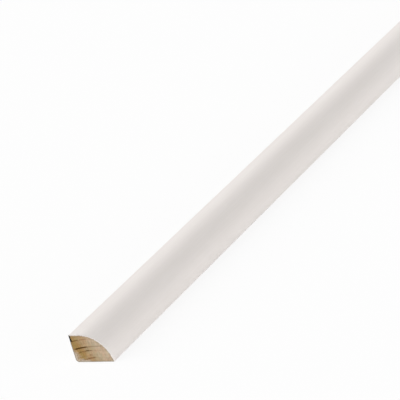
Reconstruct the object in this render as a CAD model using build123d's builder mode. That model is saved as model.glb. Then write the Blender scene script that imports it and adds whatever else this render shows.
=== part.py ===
"""Base shoe moulding: one straight stick of moulded softwood, lying on its wide flat face.

X runs along the stick. The origin is at the middle of its length and width, on the floor.
The narrow flat face is at the back (+Y) and the rounded face looks up and to the front (-Y).
"""

import os

from build123d import *

os.makedirs("parts", exist_ok=True)

# Driving dimensions in millimetres
length = 2438.4  # a stick of 8 ft
width = 19.05  # across the wide flat face to the sharp toe, 3/4 in
height = 12.7  # up the narrow flat face, 1/2 in
top_flat = 4.7625  # flat strip on top beside the narrow face, 3/16 in
corner_ease = 1.5  # radius that relieves the corner between the two flat faces
arris_ease = 0.4  # radius on the sharp edge at the top of the narrow face
toe_ease = 0.3  # radius that blunts the thin edge at the toe

back = width / 2
toe = back - width
shoulder = back - top_flat

with BuildPart() as base_shoe:
    # The section, drawn looking along the stick: the curve leaves the top flat smoothly
    # and comes down to the toe a little short of upright
    with BuildSketch(Plane.YZ.offset(-length / 2)):
        with BuildLine():
            Line((toe, 0), (back, 0))
            Line((back, 0), (back, height))
            Line((back, height), (shoulder, height))
            TangentArc((shoulder, height), (toe, 0), tangent=(-1, 0))
        make_face()
    extrude(amount=length)

    # The long edges are eased by the moulder, while the sawn ends stay sharp
    long_edges = base_shoe.edges().filter_by(Axis.X)
    back_edges = long_edges.group_by(Axis.Y)[-1].sort_by(Axis.Z)
    toe_edge = long_edges.sort_by(Axis.Y)[0]
    fillet(back_edges[0], radius=corner_ease)
    fillet(back_edges[-1], radius=arris_ease)
    fillet(toe_edge, radius=toe_ease)

base_shoe.part.label = "base_shoe"
export_step(base_shoe.part, "parts/base_shoe.step")
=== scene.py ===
"""Dresses a base shoe moulding and sets its stage.

One stick of moulded pine lies on its wide flat face. Its long faces are primed white and its two sawn
ends are bare wood. The dressed stick replaces the CAD node base_shoe and keeps its section and length.
X runs along the stick, the narrow flat face looks to +Y and the rounded face up and to -Y.
"""

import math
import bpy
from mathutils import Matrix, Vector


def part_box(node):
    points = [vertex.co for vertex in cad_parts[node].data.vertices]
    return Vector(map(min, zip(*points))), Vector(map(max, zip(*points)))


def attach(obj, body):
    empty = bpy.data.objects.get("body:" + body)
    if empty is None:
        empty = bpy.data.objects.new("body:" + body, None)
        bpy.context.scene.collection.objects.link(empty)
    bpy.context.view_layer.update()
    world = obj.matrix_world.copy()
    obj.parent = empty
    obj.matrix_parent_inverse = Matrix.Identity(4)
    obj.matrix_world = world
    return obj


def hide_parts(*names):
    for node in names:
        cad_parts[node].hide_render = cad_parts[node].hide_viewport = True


bl_info = {
    "name": "Base Shoe Moulding",
    "version": (1, 0, 0),
    "blender": (4, 5, 0),
    "location": "View3D > Sidebar > Moulding",
    "description": "Dresses a primed stick of base shoe moulding with sawn ends, and sets its stage",
    "category": "Object",
}

import bpy
from bpy.props import FloatProperty, FloatVectorProperty, PointerProperty
from mathutils import Matrix, Vector, noise

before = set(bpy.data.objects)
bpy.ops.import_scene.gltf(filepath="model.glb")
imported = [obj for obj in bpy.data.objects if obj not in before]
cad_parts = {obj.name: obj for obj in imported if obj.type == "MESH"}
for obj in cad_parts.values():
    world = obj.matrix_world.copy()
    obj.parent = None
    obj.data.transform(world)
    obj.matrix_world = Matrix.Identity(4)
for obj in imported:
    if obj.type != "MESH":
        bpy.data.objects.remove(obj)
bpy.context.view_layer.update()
stick_low, stick_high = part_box("base_shoe")

MM = 0.001  # a millimetre in Blender's metres

# The wood's growth rings: how far each lies from the pith in millimetres, and how dark it is all along
GROWTH_RINGS = (
    (54.8, 0.22), (56.2, 0.18), (57.7, 0.28), (59.2, 0.20), (61.1, 0.26),
    (62.9, 0.32), (64.8, 0.18), (66.6, 0.28), (68.3, 0.20),
)
# Stretches where a ring's latewood shows darkest: the ring, how far its middle lies from the narrow face,
# half its length and half its thickness, all in millimetres, and how dark and how red it is
LATEWOOD = (
    (66.60, 2.0, 2.4, 0.42, 0.98, 0.1),
    (66.62, 6.6, 2.4, 0.26, 0.60, 0.9),
    (62.95, 4.3, 4.0, 0.42, 1.00, 0.0),
    (62.95, 10.2, 6.0, 0.22, 0.65, 0.6),
    (61.15, 4.1, 1.6, 0.28, 0.75, 0.1),
    (61.20, 7.6, 2.4, 0.30, 0.95, 0.1),
    (59.20, 8.2, 0.6, 0.45, 0.55, 0.7),
    (57.72, 8.2, 2.6, 0.42, 0.98, 0.7),
    (57.65, 4.4, 2.4, 0.24, 0.55, 0.1),
)
RING_WOBBLE, WOBBLE_WIDTH = 0.12, 3.0 * MM  # how far a ring strays, in millimetres, and over what width
RING_RISE, RING_FALL = 0.6, 0.1  # how far latewood reaches before and after its ring, in millimetres
SHADE_START, SHADE_PEAK, SHADE_END = -0.62, -0.04, 0.10  # a ring's faint shade, in millimetres from it

# The splintered corner: how high it starts, how far below the top it ends, and how rough its edge is
CHIP_LOW, CHIP_BELOW_TOP = 9.35 * MM, 0.2 * MM
CHIP_RAGGED, RAG_WIDTH = 0.2, 0.5 * MM

# Relief of the sawn wood
MARK_BOW = 0.02  # sideways bend of a saw mark, in millimetres for each square millimetre up
MARK_RUN = 9.0 * MM  # how far up a saw mark stays alike
FIBRE_WIDTH = 0.35 * MM  # width of a tuft of fibre
LEAST_DEPTH = 0.02 * MM  # how far the wood lies below the plane of the cut at least
NICK_DEPTH, NICK_WIDTH = 0.03 * MM, 0.9 * MM  # nicks in the cut edge of the primer

# Points and faces of the mesh
ROWS = 40  # rows of faces up a sawn end
CORNER_STEPS, ARRIS_STEPS, TOE_STEPS = 9, 5, 5  # columns of points round each eased edge
FLAT_STEPS, CURVE_STEPS = 10, 54  # columns across the flat strip and down the rounded face
CLOSEST_COLUMNS = 0.012 * MM  # columns nearer to each other than this become one
STRIPS = 6  # lengths that the long faces are cut into on the UV map
SPANS = 8  # spans of faces in each of those lengths
NEAR_END_STEPS = (0.25, 0.6, 1.1, 1.8, 3.0, 6.0, 14.0)  # extra rings beside a sawn end, in millimetres
FLAT_FACING = 0.75  # how squarely a point looks back or down to count as on a flat face

# The UV map: the long faces in strips below, and the two sawn ends side by side above them
STRIPS_SHARE = 0.68  # share of the map's height that the strips take
STRIP_LEFT, STRIP_REACH = 0.006, 0.988
STRIPS_FOOT, STRIP_FILL = 0.004, 0.95
NEAR_END_LEFT, FAR_END_LEFT, ENDS_FOOT = 0.02, 0.52, 0.695
END_REACH, END_RISE = 0.44, 0.29

PRIMED, THIN_PRIMED, SAWN = range(3)  # the stick's material slots

# Noise in the materials. A stretch under 1 draws the noise out along that axis.
NOISE_ROUGHNESS = 0.55
CLOUD_STRETCH = (0.15, 1.0, 1.0)
FIBRE_STRETCH = (0.03, 1.0, 1.0)
PEEL_STRETCH = (0.7, 1.0, 1.0)
WOBBLE_STRETCH = (0.05, 1.0, 1.0)
PATCH_STRETCH = (0.05, 1.0, 0.7)
RAY_TURN, RAY_RUN = 62.0, 0.20  # steps of the rays' noise for a radian round the pith and a millimetre out
SIDE_SMEAR = 1.6  # how many times wider the smeared primer is up the side than along the foot
OLIVE_TINT = (0.98, 1.01, 0.93, 1)  # what patches of the wood multiply its colour by
ORANGE_TINT = (1.04, 0.95, 0.86, 1)

FLOOR_HALF = 40.0  # metres from the floor's middle to its edges
FLOOR_GAP = 0.03 * MM  # keeps the floor clear of the wide flat face
LAMP_AWAY = 3.0  # where a lamp stands in the viewport, though only its direction counts
SENSOR = 36.0  # width of the camera's sensor in millimetres


class StickSizes(bpy.types.PropertyGroup):
    """Sizes of the stick, as the moulder and the saw leave it"""

    length: FloatProperty(
        name="Length", description="From one sawn end to the other",
        default=stick_high.x - stick_low.x, min=0.1, unit="LENGTH",
    )
    width: FloatProperty(
        name="Width", description="Across the wide flat face to the sharp toe",
        default=19.05 * MM, min=0.0, unit="LENGTH",
    )
    height: FloatProperty(
        name="Height", description="Up the narrow flat face",
        default=stick_high.z - stick_low.z, min=0.0, unit="LENGTH",
    )
    top_flat: FloatProperty(
        name="Top flat", description="Flat strip on top beside the narrow face",
        default=4.7625 * MM, min=0.0, unit="LENGTH",
    )
    corner_ease: FloatProperty(
        name="Corner ease", description="Radius of the corner between the two flat faces",
        default=1.5 * MM, min=0.0, unit="LENGTH",
    )
    arris_ease: FloatProperty(
        name="Arris ease", description="Radius of the sharp edge at the top of the narrow face",
        default=0.4 * MM, min=0.0, unit="LENGTH",
    )
    toe_ease: FloatProperty(
        name="Toe ease", description="Radius that blunts the toe",
        default=0.3 * MM, min=0.0, unit="LENGTH",
    )
    film: FloatProperty(
        name="Primer film", description="How thick the cut edge of the primer is at a sawn end",
        default=0.2 * MM, min=0.0, unit="LENGTH",
    )


class SawnEnds(bpy.types.PropertyGroup):
    """Relief of the two sawn ends"""

    pith: FloatVectorProperty(
        name="Pith", description="Where the tree's centre ran, across and up, under the stick",
        default=(-4.675 * MM, -55.6 * MM), size=2, unit="LENGTH",
    )
    mark_pitch: FloatProperty(
        name="Saw mark pitch", description="Distance from one saw mark to the next",
        default=0.55 * MM, min=0.0, unit="LENGTH",
    )
    mark_depth: FloatProperty(
        name="Saw mark depth", description="Deepest saw mark",
        default=0.05 * MM, min=0.0, unit="LENGTH",
    )
    mark_lean: FloatProperty(
        name="Saw mark lean", description="How far the saw marks lean from upright",
        default=math.radians(9.0), subtype="ANGLE",
    )
    early_depth: FloatProperty(
        name="Earlywood depth", description="How far the soft wood between two rings sinks below them",
        default=0.06 * MM, min=0.0, unit="LENGTH",
    )
    bleed: FloatProperty(
        name="Primer bleed", description="How far primer ran in over the sawn wood from the rounded face",
        default=0.42 * MM, min=0.0, unit="LENGTH",
    )
    chip_depth: FloatProperty(
        name="Chip depth", description="How deep the splinter went at the upper corner of the near end",
        default=1.1 * MM, min=0.0, unit="LENGTH",
    )
    chip_width: FloatProperty(
        name="Chip width", description="How far the splinter reaches in from the narrow face",
        default=0.85 * MM, min=0.0, unit="LENGTH",
    )


class Finishes(bpy.types.PropertyGroup):
    """Colours of the primer and the bare wood, and of the shade painted on a sawn end"""

    primer: FloatVectorProperty(
        name="Primer", description="White primer on the rounded face",
        default=(0.885, 0.836, 0.806), size=3, min=0.0, max=1.0, subtype="COLOR",
    )
    # Partly painted shade: besides the tint of a thin coat, this colour is kept dark so that the narrow
    # face, which faces the key light, does not come out too bright
    thin_primer_and_shade: FloatVectorProperty(
        name="Thin primer and shade", description="The same primer where a thin coat lets the wood tint it",
        default=(0.66, 0.605, 0.53), size=3, min=0.0, max=1.0, subtype="COLOR",
    )
    wood_back: FloatVectorProperty(
        name="Wood at the back", description="Earlywood beside the narrow face, yellow with resin",
        default=(0.378, 0.243, 0.092), size=3, min=0.0, max=1.0, subtype="COLOR",
    )
    wood_toe: FloatVectorProperty(
        name="Wood at the toe", description="Earlywood towards the toe, paler and greyer",
        default=(0.552, 0.445, 0.338), size=3, min=0.0, max=1.0, subtype="COLOR",
    )
    latewood: FloatVectorProperty(
        name="Latewood", description="Dark line of a growth ring",
        default=(0.085, 0.040, 0.006), size=3, min=0.0, max=1.0, subtype="COLOR",
    )
    red_latewood: FloatVectorProperty(
        name="Red latewood", description="Reddish line of a growth ring",
        default=(0.200, 0.085, 0.028), size=3, min=0.0, max=1.0, subtype="COLOR",
    )
    # Painted shade along the back and bottom edges of a sawn end; the same colour also darkens a band of the
    # wood just inside the primer's bleed
    edge_shade_and_band: FloatVectorProperty(
        name="Edge shade and band", description="Cut edge of the thin primer on the two flat faces",
        default=(0.26, 0.23, 0.18), size=3, min=0.0, max=1.0, subtype="COLOR",
    )
    # Painted shade: near-black inside the split at the upper back corner of the near end
    crack_shade: FloatVectorProperty(
        name="Crack shade", description="Dark bottom of the splintered corner",
        default=(0.012, 0.008, 0.004), size=3, min=0.0, max=1.0, subtype="COLOR",
    )


class StageSettings(bpy.types.PropertyGroup):
    """Floor, light and camera"""

    floor: FloatVectorProperty(
        name="Floor", description="Colour of the floor",
        default=(0.95, 0.95, 0.95), size=3, min=0.0, max=1.0, subtype="COLOR",
    )
    shadow_share: FloatProperty(
        name="Shadow share", description="How much of the floor's own shading shows under its white",
        default=0.12, min=0.0, max=1.0, subtype="FACTOR",
    )
    sky: FloatProperty(
        name="Sky", description="Even light from all round",
        default=0.325, min=0.0,
    )
    key: FloatProperty(
        name="Key", description="Soft light from behind the narrow face, where pi lights white fully",
        default=3.2, min=0.0,
    )
    key_from: FloatVectorProperty(
        name="Key from", description="Direction that the key light comes from",
        default=(-0.25, 0.80, 0.50), size=3, subtype="DIRECTION",
    )
    key_spread: FloatProperty(
        name="Key spread", description="How wide the key light is",
        default=math.radians(50.0), subtype="ANGLE",
    )
    fill: FloatProperty(
        name="Fill", description="Soft light from low in front of the rounded face",
        default=1.92, min=0.0,
    )
    fill_from: FloatVectorProperty(
        name="Fill from", description="Direction that the fill light comes from",
        default=(-0.15, -1.0, 0.10), size=3, subtype="DIRECTION",
    )
    fill_spread: FloatProperty(
        name="Fill spread", description="How wide the fill light is",
        default=math.radians(40.0), subtype="ANGLE",
    )
    camera: FloatVectorProperty(
        name="Camera", description="Where the camera stands",
        default=(-1.89613, -0.53088, 0.36659), size=3, subtype="XYZ", unit="LENGTH", precision=5,
    )
    target: FloatVectorProperty(
        name="Target", description="Point in the middle of the picture",
        default=(-1.11176, 0.0, 0.02284), size=3, subtype="XYZ", unit="LENGTH", precision=5,
    )
    roll: FloatProperty(
        name="Roll", description="Turn of the camera about its line of sight, clockwise",
        default=math.radians(16.477), subtype="ANGLE",
    )
    lens: FloatProperty(
        name="Lens", description="Focal length in millimetres on a 36 mm sensor",
        default=203.27, min=1.0,
    )


class Section:
    """The moulded outline, seen along the stick, with y across it and z up"""

    def __init__(self, sizes):
        self.back = stick_high.y
        self.height = sizes.height
        self.shoulder = self.back - sizes.top_flat
        run = sizes.width - sizes.top_flat
        self.curve = (run ** 2 + sizes.height ** 2) / (2 * sizes.height)
        self.curve_z = sizes.height - self.curve
        self.corner = sizes.corner_ease
        self.arris = sizes.arris_ease
        self.toe = sizes.toe_ease
        self.corner_y = self.back - self.corner
        self.arris_y = self.back - self.arris
        inner = self.curve - self.toe
        drop = self.toe - self.curve_z
        self.toe_y = self.shoulder - math.sqrt(inner ** 2 - drop ** 2)
        self.toe_angle = math.acos(drop / inner)
        self.tip = self.toe_y - self.toe

    def under(self, y):
        """Height of the underside at y, and the way it faces"""
        if y > self.corner_y:
            lean = min(1.0, (y - self.corner_y) / self.corner)
            fall = math.sqrt(1 - lean ** 2)
            return self.corner * (1 - fall), (lean, -fall)
        if y < self.toe_y:
            lean = min(1.0, (self.toe_y - y) / self.toe)
            fall = math.sqrt(1 - lean ** 2)
            return self.toe * (1 - fall), (-lean, -fall)
        return 0.0, (0.0, -1.0)

    def over(self, y):
        """Height of the upper side at y, and the way it faces"""
        if y > self.arris_y:
            lean = min(1.0, (y - self.arris_y) / self.arris)
            rise = math.sqrt(1 - lean ** 2)
            return self.height - self.arris * (1 - rise), (lean, rise)
        if y > self.shoulder:
            return self.height, (0.0, 1.0)
        lean = (self.shoulder - y) / self.curve
        if lean <= math.sin(self.toe_angle):
            rise = math.sqrt(1 - lean ** 2)
            return self.curve_z + self.curve * rise, (-lean, rise)
        lean = min(1.0, (self.toe_y - y) / self.toe)
        rise = math.sqrt(1 - lean ** 2)
        return self.toe * (1 + rise), (-lean, rise)

    def columns(self):
        """Positions across the stick from the narrow face to the toe, close together on the rounded edges"""
        def turns(angle, steps):
            return [math.sin(angle * i / steps) for i in range(steps + 1)]

        quarter = math.pi / 2
        places = [self.corner_y + self.corner * t for t in turns(quarter, CORNER_STEPS)]
        places += [self.arris_y + self.arris * t for t in turns(quarter, ARRIS_STEPS)]
        strip = self.corner_y - self.shoulder
        places += [self.corner_y - strip * i / FLAT_STEPS for i in range(1, FLAT_STEPS)]
        places += [self.shoulder - self.curve * t for t in turns(self.toe_angle, CURVE_STEPS)]
        places += [self.toe_y - self.toe * t for t in turns(quarter, TOE_STEPS)]
        places.sort(reverse=True)
        kept = [self.back]
        for y in places:
            if kept[-1] - y > CLOSEST_COLUMNS and y - self.tip > CLOSEST_COLUMNS:
                kept.append(y)
        return kept + [self.tip]


def ring_distance(ends, y, z):
    """Distance from the pith in millimetres, with the wobble of a real ring"""
    across, up = (y - ends.pith[0]) / MM, (z - ends.pith[1]) / MM
    return math.hypot(across, up) + RING_WOBBLE * noise.noise(Vector((y, z, 0.0)) / WOBBLE_WIDTH)


def latewood_at(distance):
    """How far into a ring's hard latewood a point lies, from 0 to 1"""
    for ring, _ in GROWTH_RINGS:
        gap = ring - distance
        if -RING_FALL < gap <= RING_RISE:
            return 1 - gap / RING_RISE if gap > 0 else 1 + gap / RING_FALL
    return 0.0


def chip_at(section, ends, y, z):
    """How far inside the splintered corner of the near end a point lies, from 0 to 1"""
    high = section.height - CHIP_BELOW_TOP
    along = (z - CHIP_LOW) / (high - CHIP_LOW)
    if not 0.0 < along < 1.0:
        return 0.0
    ragged = CHIP_RAGGED * noise.noise(Vector((y, z, 5.0 * MM)) / RAG_WIDTH)
    # It opens within an eighth of its height and narrows from there to the top
    reach = ends.chip_width * (1.3 - 0.8 * along + ragged) * min(1.0, along * 8.0)
    inward = section.back - y
    return max(0.0, min(1.0, 2.0 * (1 - inward / max(reach, 1e-7))))


def crack_at(section, ends, y, z):
    """How deep the split in that corner is at a point, which is least at the narrow face"""
    inward = (section.back - y) / ends.chip_width
    shell = min(1.0, 0.12 + max(0.0, inward) / 0.35)
    return ends.chip_depth * shell * chip_at(section, ends, y, z)


def from_front(section, y, z):
    """How far a point of a sawn end lies in from the top flat and the rounded face, in millimetres"""
    if y > section.shoulder:
        return (section.height - z) / MM
    return (section.curve - math.hypot(y - section.shoulder, z - section.curve_z)) / MM


def from_flats(section, y, z):
    """How far a point of a sawn end lies in from the narrow and the wide flat face, in millimetres"""
    if y > section.corner_y and z < section.corner:
        return (section.corner - math.hypot(y - section.corner_y, z - section.corner)) / MM
    return min(section.back - y, z) / MM


def thin_coat(facing):
    """1 on the two flat faces, which get a thin coat of primer, and 0 on the faces that show"""
    return 1.0 if facing[0] > FLAT_FACING or facing[1] < -FLAT_FACING else 0.0


def relief(ends, y, z, seed):
    """How far a point of bare wood lies below the plane of the cut"""
    lean = math.tan(ends.mark_lean)
    mark_place = (y + z * lean + MARK_BOW * z * z / MM) / ends.mark_pitch
    saw = 0.5 + 0.5 * noise.noise(Vector((mark_place, z / MARK_RUN, seed)))
    fibre = 0.5 + 0.5 * noise.noise(Vector((y / FIBRE_WIDTH, z / FIBRE_WIDTH, seed + 7.0)))
    soft = 1 - latewood_at(ring_distance(ends, y, z))
    return LEAST_DEPTH + ends.mark_depth * saw + ends.early_depth * soft * (0.6 + 0.4 * fibre)


class StickMesh:
    """Points, faces, places on the UV map and marks of the dressed stick"""

    def __init__(self):
        self.points = []
        self.marks = {"film": [], "crack_shade": [], "thin": [], "from_front": [], "from_flats": []}
        self.faces = []
        self.places = []
        self.slots = []

    def point(self, co, **marks):
        """Adds a point with its marks, which are 0 where they aren't given"""
        self.points.append(co)
        for name, values in self.marks.items():
            values.append(marks.get(name, 0.0))
        return len(self.points) - 1

    def face(self, corners, places, slot):
        """Adds a face, with a corner that is given twice kept once"""
        kept = [i for i, c in enumerate(corners) if c != corners[i - 1]]
        self.faces.append([corners[i] for i in kept])
        self.places.extend(places[i] for i in kept)
        self.slots.append(slot)


def stick_outline(section):
    """Once round the section from the toe: under it, up the narrow face and over the top.

    Each point has its place, the way it faces and its place in the grid of a sawn end.
    """
    columns = section.columns()
    last = len(columns) - 1
    round_it = []
    for i in range(last, -1, -1):
        z, facing = section.under(columns[i])
        round_it.append((columns[i], z, facing, (i, 0)))
    low, high = section.under(section.back)[0], section.over(section.back)[0]
    for j in range(1, ROWS):
        round_it.append((section.back, low + (high - low) * j / ROWS, (1.0, 0.0), (0, j)))
    for i in range(last):
        z, facing = section.over(columns[i])
        round_it.append((columns[i], z, facing, (i, ROWS)))
    return columns, round_it


def lay_end(mesh, section, sizes, ends, columns, round_it, near):
    """Makes one sawn end: the cut edge of the primer and the bare wood inside it. Returns its outer ring."""
    x_end = -sizes.length / 2 if near else sizes.length / 2
    inwards = 1.0 if near else -1.0
    seed = 0.0 if near else 31.0

    def marks(y, z):
        return {
            "crack_shade": chip_at(section, ends, y, z) if near else 0.0,
            "from_front": from_front(section, y, z),
            "from_flats": from_flats(section, y, z),
        }

    def split(y, z):
        return crack_at(section, ends, y, z) if near else 0.0

    def on_map(y, z):
        left = NEAR_END_LEFT if near else FAR_END_LEFT
        across = (section.back - y) / sizes.width
        return (left + END_REACH * across, ENDS_FOOT + END_RISE * z / sizes.height)

    ring, inner = [], {}
    for y, z, facing, cell in round_it:
        nick = NICK_DEPTH * abs(noise.noise(Vector((y, z, seed * MM)) / NICK_WIDTH))
        x = x_end + inwards * (nick + split(y, z))
        ring.append(mesh.point((x, y, z), film=1.0, thin=thin_coat(facing), **marks(y, z)))
        inner[cell] = (y - sizes.film * facing[0], z - sizes.film * facing[1])
    last = len(columns) - 1
    grid = {}
    for i in range(last + 1):
        under, over = inner[(i, 0)], inner[(i, ROWS) if i < last else (i, 0)]
        for j in range(ROWS + 1):
            if i == last and j > 0:
                grid[(i, j)] = grid[(i, 0)]
                continue
            share = j / ROWS
            y = under[0] + (over[0] - under[0]) * share
            z = under[1] + (over[1] - under[1]) * share
            depth = relief(ends, y, z, seed) + split(y, z)
            grid[(i, j)] = mesh.point((x_end + inwards * depth, y, z), **marks(y, z))

    def put(corners):
        outwards = corners if near else corners[::-1]
        mesh.face(outwards, [on_map(*mesh.points[c][1:]) for c in outwards], SAWN)

    count = len(round_it)
    for m in range(count):
        after = (m + 1) % count
        put([ring[m], grid[round_it[m][3]], grid[round_it[after][3]], ring[after]])
    for i in range(last):
        for j in range(ROWS):
            put([grid[(i, j)], grid[(i + 1, j)], grid[(i + 1, j + 1)], grid[(i, j + 1)]])
    return ring


def ring_stations(length):
    """Positions along the stick where its long faces have a ring of points, without the two ends"""
    even = [length * (i / (STRIPS * SPANS) - 0.5) for i in range(1, STRIPS * SPANS)]
    beside = [step * MM for step in NEAR_END_STEPS]
    return sorted(even + [b - length / 2 for b in beside] + [length / 2 - b for b in beside])


def lay_long_faces(mesh, section, sizes, round_it, near_ring, far_ring):
    """Joins the two sawn ends with the long faces of the stick"""
    count = len(round_it)
    stations = [-sizes.length / 2, *ring_stations(sizes.length), sizes.length / 2]
    rings = [near_ring]
    for x in stations[1:-1]:
        rings.append([mesh.point((x, y, z)) for y, z, _, _ in round_it])
    rings.append(far_ring)

    girth = [0.0]
    for m in range(count):
        a, b = round_it[m], round_it[(m + 1) % count]
        girth.append(girth[-1] + math.hypot(b[0] - a[0], b[1] - a[1]))
    strip = sizes.length / STRIPS
    strip_height = STRIPS_SHARE / STRIPS

    def on_map(x, m, row):
        along = (x + sizes.length / 2 - row * strip) / strip
        up = row + STRIP_FILL * girth[m] / girth[-1]
        return (STRIP_LEFT + STRIP_REACH * along, STRIPS_FOOT + strip_height * up)

    for k in range(len(rings) - 1):
        row = int(((stations[k] + stations[k + 1]) / 2 + sizes.length / 2) / strip)
        for m in range(count):
            after = (m + 1) % count
            a, b = round_it[m], round_it[after]
            on_corner = max(a[1], b[1]) < section.corner and a[0] > section.corner_y
            flat = on_corner or (thin_coat(a[2]) and thin_coat(b[2]))
            corners = [rings[k][m], rings[k][after], rings[k + 1][after], rings[k + 1][m]]
            spots = [(stations[k], m), (stations[k], m + 1), (stations[k + 1], m + 1), (stations[k + 1], m)]
            mesh.face(corners, [on_map(x, n, row) for x, n in spots], THIN_PRIMED if flat else PRIMED)


def add_node(tree, kind, inputs=None, **settings):
    """Adds a shader node with its settings. An input is a value, or another node's output to link from."""
    made = tree.nodes.new("ShaderNode" + kind)
    for name, value in settings.items():
        setattr(made, name, value)
    for name, value in (inputs or {}).items():
        if isinstance(value, bpy.types.NodeSocket):
            tree.links.new(value, made.inputs[name])
        else:
            made.inputs[name].default_value = value
    return made


def maths(tree, operation, *values, clamp=False):
    """A Math node's result"""
    return add_node(tree, "Math", dict(enumerate(values)), operation=operation, use_clamp=clamp).outputs[0]


def weigh(tree, value, weight, middle=0.0):
    """A value times a weight, with its middle taken off first"""
    if middle:
        value = maths(tree, "SUBTRACT", value, middle)
    return maths(tree, "MULTIPLY", value, weight)


def blend(tree, factor, under, over, how="MIX"):
    """A colour laid over another"""
    inputs = {0: factor, 6: under, 7: over}
    return add_node(tree, "Mix", inputs, data_type="RGBA", blend_type=how).outputs[2]


def fade(tree, value, start, end, low=0.0, high=1.0):
    """A value carried smoothly from one range to another"""
    inputs = {"Value": value, "From Min": start, "From Max": end, "To Min": low, "To Max": high}
    return add_node(tree, "MapRange", inputs, interpolation_type="SMOOTHSTEP").outputs[0]


def mottle(tree, vector, scale, detail, stretch=(1.0, 1.0, 1.0)):
    """Noise at so many spots to a millimetre, drawn out along some of the axes"""
    inputs = {"Vector": vector, "Scale": tuple(s * scale / MM for s in stretch)}
    mapped = add_node(tree, "Mapping", inputs).outputs[0]
    inputs = {"Vector": mapped, "Scale": 1.0, "Detail": detail, "Roughness": NOISE_ROUGHNESS}
    return add_node(tree, "TexNoise", inputs).outputs[0]


def new_group(name, inputs, outputs):
    """An empty node group with its sockets: (socket type, name, default) each"""
    tree = bpy.data.node_groups.new(name, "ShaderNodeTree")
    for direction, sockets in (("INPUT", inputs), ("OUTPUT", outputs)):
        for kind, label, value in sockets:
            made = tree.interface.new_socket(label, in_out=direction, socket_type="NodeSocket" + kind)
            if value is not None:
                made.default_value = value
    return tree, tree.nodes.new("NodeGroupInput"), tree.nodes.new("NodeGroupOutput")


def primer_film_group():
    """Sprayed primer over raised wood fibre, in a full or a thin coat"""
    tree, given, result = new_group(
        "Primer Film",
        [("Vector", "Place", None), ("Color", "Full Coat", (0.8, 0.8, 0.8, 1)),
         ("Color", "Thin Coat", (0.7, 0.7, 0.7, 1)), ("Float", "Thinness", 0.1)],
        [("Color", "Colour", None), ("Float", "Roughness", None), ("Float", "Height", None)],
    )
    place = given.outputs["Place"]
    cloud = mottle(tree, place, 0.06, 3.0, CLOUD_STRETCH)
    fibre = mottle(tree, place, 1.6, 4.0, FIBRE_STRETCH)
    peel = mottle(tree, place, 1.1, 2.0, PEEL_STRETCH)
    drawn = maths(tree, "ADD", weigh(tree, fibre, 0.65), weigh(tree, cloud, 0.35))
    streak = fade(tree, drawn, 0.36, 0.66)
    showing = maths(tree, "MULTIPLY", streak, given.outputs["Thinness"], clamp=True)
    colour = blend(tree, showing, given.outputs["Full Coat"], given.outputs["Thin Coat"])
    rough = fade(tree, cloud, 0.3, 0.7, 0.42, 0.52)
    rough = maths(tree, "ADD", rough, weigh(tree, showing, 0.15))
    height = maths(tree, "ADD", weigh(tree, fibre, 0.6), weigh(tree, peel, 0.4))
    tree.links.new(colour, result.inputs["Colour"])
    tree.links.new(rough, result.inputs["Roughness"])
    tree.links.new(height, result.inputs["Height"])
    return tree


def latewood_group():
    """One dark stretch of a growth ring"""
    tree, given, result = new_group(
        "Latewood Stretch",
        [("Float", "Ring Distance", 0.0), ("Float", "Along", 0.0), ("Float", "Ring", 0.0),
         ("Float", "Middle", 0.0), ("Float", "Half Length", 1.0), ("Float", "Half Thickness", 1.0)],
        [("Float", "Darkness", None)],
    )

    def share_off(value, middle, half):
        off = maths(tree, "SUBTRACT", given.outputs[value], given.outputs[middle])
        return maths(tree, "DIVIDE", maths(tree, "ABSOLUTE", off), given.outputs[half])

    across = fade(tree, share_off("Ring Distance", "Ring", "Half Thickness"), 0.45, 1.0, 1.0, 0.0)
    along = fade(tree, share_off("Along", "Middle", "Half Length"), 0.55, 1.0, 1.0, 0.0)
    tree.links.new(maths(tree, "MULTIPLY", across, along), result.inputs["Darkness"])
    return tree


def place_group(tree, group, inputs):
    """A node group placed in a material"""
    return add_node(tree, "Group", inputs, node_tree=group)


def new_material(name):
    """A node material with its shader and the object's own coordinates"""
    material = bpy.data.materials.new(name)
    material.use_nodes = True
    tree = material.node_tree
    shader = tree.nodes["Principled BSDF"]
    place = tree.nodes.new("ShaderNodeTexCoord").outputs["Object"]
    return material, tree, shader, place


def primer_material(name, group, coat, worn, thinness, height):
    """Satin primer in one coat's colour, with streaks where it is worn or thin"""
    material, tree, shader, place = new_material(name)
    film = place_group(tree, group, {
        "Place": place, "Full Coat": (*coat, 1), "Thin Coat": (*worn, 1), "Thinness": thinness,
    })
    tree.links.new(film.outputs["Colour"], shader.inputs["Base Color"])
    tree.links.new(film.outputs["Roughness"], shader.inputs["Roughness"])
    bump = add_node(tree, "Bump", {"Height": film.outputs["Height"], "Strength": 0.35, "Distance": height})
    tree.links.new(bump.outputs[0], shader.inputs["Normal"])
    return material


def mark(tree, name):
    """One of the marks that the mesh carries"""
    return add_node(tree, "Attribute", attribute_name=name).outputs["Fac"]


def end_grain(tree, place, ends):
    """Distance from the pith in millimetres, and the streaks of the rays that run out from it"""
    offset = add_node(tree, "VectorMath", {0: place, 1: (0.0, *ends.pith)}, operation="SUBTRACT").outputs[0]
    scale = (0.0, 1 / MM, 1 / MM)
    offset = add_node(tree, "VectorMath", {0: offset, 1: scale}, operation="MULTIPLY").outputs[0]
    distance = add_node(tree, "VectorMath", {0: offset}, operation="LENGTH").outputs["Value"]
    wobble = mottle(tree, place, 0.35, 2.0, WOBBLE_STRETCH)
    wavy = maths(tree, "ADD", distance, weigh(tree, wobble, 0.35, 0.5))

    axes = add_node(tree, "SeparateXYZ", {0: offset}).outputs
    turn = maths(tree, "ARCTAN2", axes["Y"], axes["Z"])
    polar = {0: weigh(tree, turn, RAY_TURN), 1: weigh(tree, distance, RAY_RUN)}
    polar = add_node(tree, "CombineXYZ", polar).outputs[0]
    rays = add_node(tree, "TexNoise", {"Vector": polar, "Scale": 1.9, "Detail": 4.0, "Roughness": 0.65})
    return wavy, rays.outputs[0]


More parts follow.
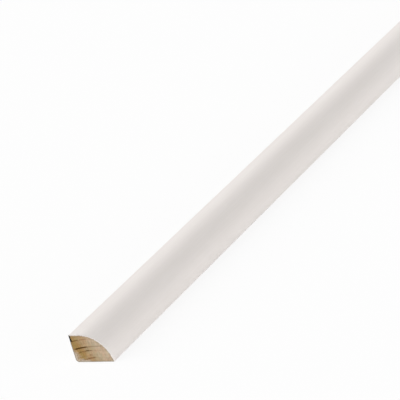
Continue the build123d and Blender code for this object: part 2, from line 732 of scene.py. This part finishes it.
def ring_shade(tree, distance):
    """Darkness of the growth rings, which rises slowly through each ring and falls off sharply after it"""
    first, last = GROWTH_RINGS[0][0] - 1, GROWTH_RINGS[-1][0] + 1
    share = maths(tree, "DIVIDE", maths(tree, "SUBTRACT", distance, first), last - first)
    ramp = add_node(tree, "ValToRGB", {0: share})
    stops = ramp.color_ramp.elements
    stops.remove(stops[1])
    stops[0].color = (0, 0, 0, 1)
    for ring, dark in GROWTH_RINGS:
        for off, value in ((SHADE_START, 0.0), (SHADE_PEAK, dark), (SHADE_END, 0.0)):
            stops.new((ring + off - first) / (last - first)).color = (value, value, value, 1)
    return ramp.outputs["Color"]


def bare_wood(tree, place, along, up, rays, cells, finishes):
    """Earlywood: yellow at the narrow face, paler towards the toe, in patches of orange and olive"""
    blotch = mottle(tree, place, 0.28, 2.0)
    slant = maths(tree, "ADD", along, weigh(tree, up, 0.45, 4.0))
    slant = maths(tree, "ADD", slant, weigh(tree, blotch, 7.0, 0.5))
    pale = maths(tree, "DIVIDE", maths(tree, "SUBTRACT", slant, 4.0), 10.0, clamp=True)
    wood = blend(tree, pale, (*finishes.wood_back, 1), (*finishes.wood_toe, 1))
    patch = fade(tree, mottle(tree, place, 0.5, 2.0, PATCH_STRETCH), 0.36, 0.64)
    wood = blend(tree, 1.0, wood, blend(tree, patch, OLIVE_TINT, ORANGE_TINT), "MULTIPLY")
    shade = fade(tree, rays, 0.25, 0.75, 0.80, 1.16)
    shade = maths(tree, "ADD", shade, fade(tree, cells, 0.3, 0.7, -0.07, 0.07))
    # Painted shade: the wood is darker within 2 mm of the wide flat face, where it meets the floor
    shade = maths(tree, "ADD", shade, fade(tree, up, 0.2, 2.0, -0.09, 0.0))
    shade = add_node(tree, "CombineXYZ", {0: shade, 1: shade, 2: shade}).outputs[0]
    return blend(tree, 1.0, wood, shade, "MULTIPLY")


def draw_rings(tree, wood, distance, along, rays, cells, finishes):
    """Lays the growth rings over the wood, and then the stretches where they are darkest"""
    faint = maths(tree, "MULTIPLY", ring_shade(tree, distance), fade(tree, along, 5.0, 15.0, 1.0, 0.55))
    wood = blend(tree, faint, wood, (*finishes.red_latewood, 1))
    stretch_group = latewood_group()
    frayed = maths(tree, "ADD", distance, weigh(tree, cells, 0.2, 0.5))
    broken = fade(tree, rays, 0.30, 0.52, 1.0, 0.6)
    for ring, middle, half_length, half_thickness, dark, red in LATEWOOD:
        stretch = place_group(tree, stretch_group, {
            "Ring Distance": frayed, "Along": along, "Ring": ring, "Middle": middle,
            "Half Length": half_length, "Half Thickness": half_thickness,
        }).outputs[0]
        if dark < 1.0:
            stretch = maths(tree, "MULTIPLY", stretch, maths(tree, "MULTIPLY", broken, dark))
        line = [a + (b - a) * red for a, b in zip(finishes.latewood, finishes.red_latewood)]
        wood = blend(tree, stretch, wood, (*line, 1))
    return wood


def corner_smear(tree, along, up, uneven):
    """Primer smeared over the lower back corner of a sawn end: a strip up its side and one along its foot"""
    # The product over the sum is small where a point lies near either face
    side = maths(tree, "DIVIDE", along, SIDE_SMEAR)
    both = maths(tree, "ADD", maths(tree, "ADD", side, up), 0.01)
    reach = maths(tree, "DIVIDE", maths(tree, "MULTIPLY", side, up), both)
    reach = maths(tree, "ADD", reach, weigh(tree, uneven, 2.0, 0.5))
    smear = fade(tree, reach, 0.1, 1.3, 0.48, 0.0)
    low_down = fade(tree, up, 4.2, 6.2, 1.0, 0.0)
    near_back = fade(tree, along, 5.0, 9.0, 1.0, 0.0)
    return maths(tree, "MULTIPLY", smear, maths(tree, "MULTIPLY", low_down, near_back))


def sawn_pine_material(group, ends, finishes):
    """Bare end grain: growth rings, rays and saw marks, with primer smeared over its lower back corner"""
    material, tree, shader, place = new_material("Sawn pine")
    axes = add_node(tree, "SeparateXYZ", {0: place}).outputs
    along = maths(tree, "DIVIDE", maths(tree, "SUBTRACT", stick_high.y, axes["Y"]), MM)
    up = maths(tree, "DIVIDE", axes["Z"], MM)
    distance, rays = end_grain(tree, place, ends)
    cells = mottle(tree, place, 3.4, 2.0)
    wood = bare_wood(tree, place, along, up, rays, cells, finishes)
    wood = draw_rings(tree, wood, distance, along, rays, cells, finishes)

    film = place_group(tree, group, {
        "Place": place, "Full Coat": (*finishes.primer, 1),
        "Thin Coat": (*finishes.thin_primer_and_shade, 1), "Thinness": 0.4,
    })
    shade_and_band = (*finishes.edge_shade_and_band, 1)
    uneven = mottle(tree, place, 1.3, 3.0)
    inward = maths(tree, "ADD", mark(tree, "from_front"), weigh(tree, uneven, 0.7, 0.5))
    bleed = ends.bleed / MM
    # A dark band in the wood just inside the primer's bleed from the rounded face
    wood = blend(tree, fade(tree, inward, bleed, bleed + 0.7, 0.35, 0.0), wood, shade_and_band)
    bled = fade(tree, inward, bleed - 0.1, bleed + 0.1, 1.0, 0.0)
    edge = fade(tree, mark(tree, "film"), 0.25, 0.6)
    rim = maths(tree, "MAXIMUM", bled, edge)
    painted = maths(tree, "MAXIMUM", corner_smear(tree, along, up, uneven), rim)
    colour = blend(tree, painted, wood, film.outputs["Colour"])
    # Painted shade: a dark line along the narrow and the wide flat face of the sawn end, and over the
    # primer's cut edge on those faces
    beside = maths(tree, "ADD", mark(tree, "from_flats"), weigh(tree, uneven, 0.5, 0.5))
    painted_edge_shade = fade(tree, beside, 0.12, 0.55, 0.7, 0.0)
    painted_edge_shade = maths(tree, "MAXIMUM", painted_edge_shade, maths(tree, "MULTIPLY", edge, mark(tree, "thin")))
    colour = blend(tree, painted_edge_shade, colour, shade_and_band)
    # Painted shade: near-black inside the split at the upper back corner of the near end
    colour = blend(tree, fade(tree, mark(tree, "crack_shade"), 0.05, 0.5), colour, (*finishes.crack_shade, 1))
    tree.links.new(colour, shader.inputs["Base Color"])
    shader.inputs["Specular IOR Level"].default_value = 0.12

    rough = maths(tree, "ADD", fade(tree, rays, 0.3, 0.7, 0.78, 0.66), weigh(tree, painted, -0.2))
    tree.links.new(rough, shader.inputs["Roughness"])
    mark_place = maths(tree, "ADD", axes["Y"], weigh(tree, axes["Z"], math.tan(ends.mark_lean)))
    mark_place = maths(tree, "DIVIDE", mark_place, ends.mark_pitch)
    inputs = {"W": mark_place, "Scale": 1.0, "Detail": 3.0}
    marks = add_node(tree, "TexNoise", inputs, noise_dimensions="1D").outputs[0]
    height = maths(tree, "ADD", weigh(tree, marks, 0.6), weigh(tree, cells, 0.4))
    bump = add_node(tree, "Bump", {"Height": height, "Strength": 0.6, "Distance": 0.09 * MM})
    tree.links.new(bump.outputs[0], shader.inputs["Normal"])
    return material


class MOULDING_OT_dress_stick(bpy.types.Operator):
    """Makes the primed stick with its sawn ends and puts it in place of the CAD node"""

    bl_idname = "moulding.dress_stick"
    bl_label = "Dress the stick"
    bl_options = {"REGISTER", "UNDO"}

    def execute(self, context):
        sizes, ends = context.scene.stick_sizes, context.scene.sawn_ends
        finishes = context.scene.finishes
        section = Section(sizes)
        columns, round_it = stick_outline(section)
        mesh = StickMesh()
        near_ring = lay_end(mesh, section, sizes, ends, columns, round_it, True)
        far_ring = lay_end(mesh, section, sizes, ends, columns, round_it, False)
        lay_long_faces(mesh, section, sizes, round_it, near_ring, far_ring)

        data = bpy.data.meshes.new("primed_stick")
        data.from_pydata(mesh.points, [], mesh.faces)
        data.uv_layers.new(name="OFBake").data.foreach_set("uv", [c for place in mesh.places for c in place])
        for name, values in mesh.marks.items():
            data.attributes.new(name, "FLOAT", "POINT").data.foreach_set("value", values)
        group = primer_film_group()
        white, thin, wood = finishes.primer, finishes.thin_primer_and_shade, finishes.wood_toe
        for material in (
            primer_material("White primer", group, white, thin, thinness=0.10, height=0.05 * MM),
            # The two flat faces take the thin primer, whose colour is partly painted shade against the key
            # light on the narrow face
            primer_material("Thin primer and shade", group, thin, wood, thinness=0.60, height=0.09 * MM),
            sawn_pine_material(group, ends, finishes),
        ):
            data.materials.append(material)
        data.polygons.foreach_set("material_index", mesh.slots)
        data.polygons.foreach_set("use_smooth", [True] * len(data.polygons))
        rims = {frozenset((r[i], r[i - 1])) for r in (near_ring, far_ring) for i in range(len(r))}
        for edge in data.edges:
            edge.use_edge_sharp = frozenset(edge.vertices) in rims
        data.update()
        if data.validate():
            raise RuntimeError("the stick's mesh had bad faces")

        stick = bpy.data.objects.new("primed_stick", data)
        context.scene.collection.objects.link(stick)
        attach(stick, "root")
        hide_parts("base_shoe")
        return {"FINISHED"}


def shown_ray(tree):
    """1 for what the camera sees, straight or in a reflection or through glass"""
    rays = tree.nodes.new("ShaderNodeLightPath").outputs
    seen = maths(tree, "MAXIMUM", rays["Is Camera Ray"], rays["Is Glossy Ray"])
    return maths(tree, "MAXIMUM", seen, rays["Is Transmission Ray"])


class MOULDING_OT_set_stage(bpy.types.Operator):
    """Makes the white floor, the soft studio light and the camera"""

    bl_idname = "moulding.set_stage"
    bl_label = "Set the stage"
    bl_options = {"REGISTER", "UNDO"}

    def execute(self, context):
        stage = context.scene.stage_settings
        self.lay_floor(context, stage)
        self.light_up(context, stage)
        self.place_camera(context, stage)
        context.scene.view_settings.view_transform = "Standard"
        return {"FINISHED"}

    def lay_floor(self, context, stage):
        """A wide floor that the camera sees as white with a faint shadow, and through from below"""
        data = bpy.data.meshes.new("floor")
        corners = [(x * FLOOR_HALF, y * FLOOR_HALF, 0) for x, y in ((-1, -1), (1, -1), (1, 1), (-1, 1))]
        data.from_pydata(corners, [], [(0, 1, 2, 3)])
        floor = bpy.data.objects.new("floor", data)
        floor.location.z = stick_low.z - FLOOR_GAP
        context.scene.collection.objects.link(floor)

        material = bpy.data.materials.new("White floor")
        material.use_nodes = True
        tree = material.node_tree
        tree.nodes.remove(tree.nodes["Principled BSDF"])
        matt = add_node(tree, "BsdfDiffuse", {"Color": (*stage.floor, 1)})
        white = add_node(tree, "Emission", {"Strength": 1.0})
        part = maths(tree, "MULTIPLY", shown_ray(tree), 1 - stage.shadow_share)
        top = add_node(tree, "MixShader", {0: part, 1: matt.outputs[0], 2: white.outputs[0]})
        below = add_node(tree, "NewGeometry").outputs["Backfacing"]
        clear = add_node(tree, "BsdfTransparent")
        both = add_node(tree, "MixShader", {0: below, 1: top.outputs[0], 2: clear.outputs[0]})
        tree.links.new(both.outputs[0], tree.nodes["Material Output"].inputs["Surface"])
        data.materials.append(material)

    def light_up(self, context, stage):
        """Even light from all round, white to the camera, and two soft lamps"""
        world = bpy.data.worlds.new("Studio")
        context.scene.world = world
        world.use_nodes = True
        tree = world.node_tree
        even = tree.nodes["Background"]
        even.inputs["Color"].default_value = (1, 1, 1, 1)
        even.inputs["Strength"].default_value = stage.sky
        white = add_node(tree, "Background", {"Color": (1, 1, 1, 1), "Strength": 1.0})
        seen = add_node(tree, "MixShader", {0: shown_ray(tree), 1: even.outputs[0], 2: white.outputs[0]})
        tree.links.new(seen.outputs[0], tree.nodes["World Output"].inputs["Surface"])

        for name, energy, coming_from, spread in (
            ("key", stage.key, stage.key_from, stage.key_spread),
            ("fill", stage.fill, stage.fill_from, stage.fill_spread),
        ):
            lamp = bpy.data.lights.new(name, "SUN")
            lamp.energy = energy
            lamp.angle = spread
            light = bpy.data.objects.new(name, lamp)
            light.rotation_euler = Vector(coming_from).to_track_quat("Z", "Y").to_euler()
            light.location = Vector(coming_from) * LAMP_AWAY
            context.scene.collection.objects.link(light)

    def place_camera(self, context, stage):
        """A long lens that looks at the near end from beyond it, rolled a little"""
        data = bpy.data.cameras.new("camera")
        data.lens = stage.lens
        data.sensor_width = SENSOR
        data.clip_start = 0.05
        data.clip_end = 200.0
        camera = bpy.data.objects.new("camera", data)
        look = Vector(stage.target) - Vector(stage.camera)
        level = look.to_track_quat("-Z", "Y").to_matrix().to_4x4()
        turn = Matrix.Rotation(-stage.roll, 4, "Z")
        camera.matrix_world = Matrix.Translation(stage.camera) @ level @ turn
        context.scene.collection.objects.link(camera)
        context.scene.camera = camera


class MOULDING_PT_panel(bpy.types.Panel):
    """Lists the moulding's sizes, finishes and stage"""

    bl_idname = "MOULDING_PT_panel"
    bl_label = "Base shoe moulding"
    bl_space_type = "VIEW_3D"
    bl_region_type = "UI"
    bl_category = "Moulding"

    def draw(self, context):
        scene = context.scene
        for title, group, operator in (
            ("Stick", scene.stick_sizes, None),
            ("Sawn ends", scene.sawn_ends, None),
            ("Finishes", scene.finishes, MOULDING_OT_dress_stick),
            ("Stage", scene.stage_settings, MOULDING_OT_set_stage),
        ):
            box = self.layout.box()
            box.label(text=title)
            for name in group.__annotations__:
                box.prop(group, name)
            if operator:
                box.operator(operator.bl_idname)


CLASSES = (
    StickSizes, SawnEnds, Finishes, StageSettings,
    MOULDING_OT_dress_stick, MOULDING_OT_set_stage, MOULDING_PT_panel,
)


def register():
    for each in CLASSES:
        bpy.utils.register_class(each)
    bpy.types.Scene.stick_sizes = PointerProperty(type=StickSizes)
    bpy.types.Scene.sawn_ends = PointerProperty(type=SawnEnds)
    bpy.types.Scene.finishes = PointerProperty(type=Finishes)
    bpy.types.Scene.stage_settings = PointerProperty(type=StageSettings)


def unregister():
    for name in ("stage_settings", "finishes", "sawn_ends", "stick_sizes"):
        delattr(bpy.types.Scene, name)
    for each in reversed(CLASSES):
        bpy.utils.unregister_class(each)


def main():
    register()
    bpy.ops.moulding.dress_stick()
    bpy.ops.moulding.set_stage()


if __name__ == "__main__":
    main()
